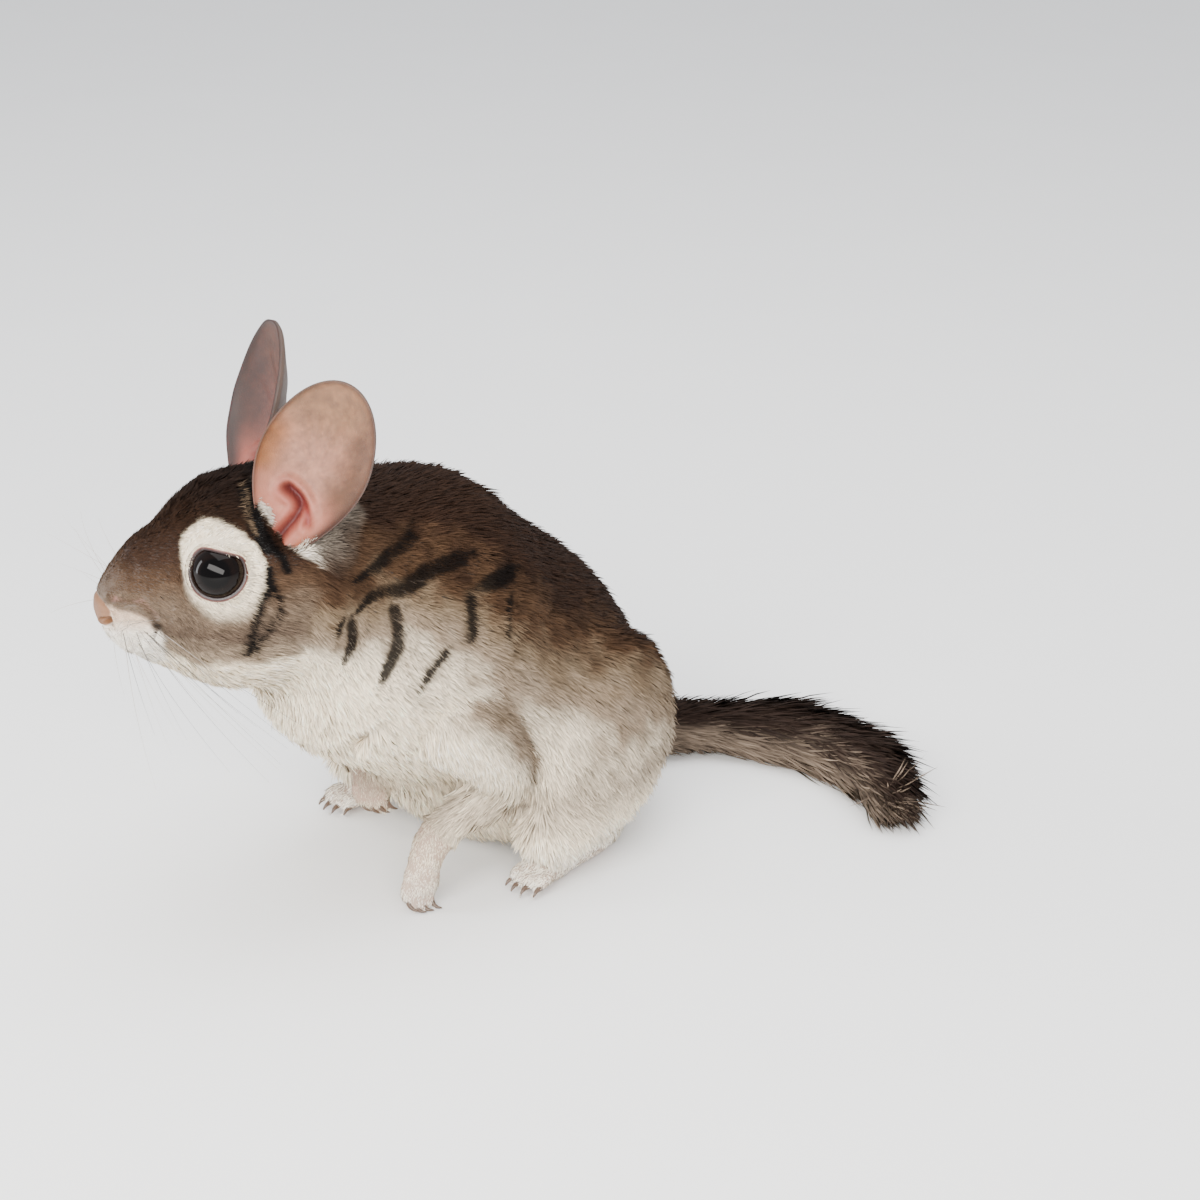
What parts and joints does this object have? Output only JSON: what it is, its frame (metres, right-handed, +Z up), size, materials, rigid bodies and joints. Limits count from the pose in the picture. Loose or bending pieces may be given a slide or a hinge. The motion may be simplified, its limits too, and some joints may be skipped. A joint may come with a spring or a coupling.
{
  "type": "chinchilla model",
  "caption": "Life-size still model of a chinchilla sitting on its haunches, head turned to its right, one forepaw down and the other tucked, with big round ears and a brush tail.",
  "frame": {"origin": "On the floor, under the middle of the model's bounding box.", "axes": "+Z is up, -Y is the way the chest faces, +X is the animal's left."},
  "size_m": [0.1464, 0.2276, 0.1618],
  "materials": {
    "coat": "matte",
    "pale_coat": "matte",
    "ear_skin": "satin",
    "eye": "gloss",
    "brush": "matte"
  },
  "bodies": {
    "root": {"head": "coat", "neck": "coat", "torso": "coat", "ear_left": "ear_skin", "ear_right": "ear_skin", "eye_left": "eye", "eye_right": "eye", "foreleg_left": "coat", "foreleg_right": "coat", "forepaw_left": "pale_coat", "forepaw_right": "pale_coat", "hindleg_left": "coat", "hindleg_right": "coat", "hindfoot_left": "pale_coat", "hindfoot_right": "pale_coat", "tail_base": "coat", "tail_brush": "brush"}
  },
  "joints": []
}
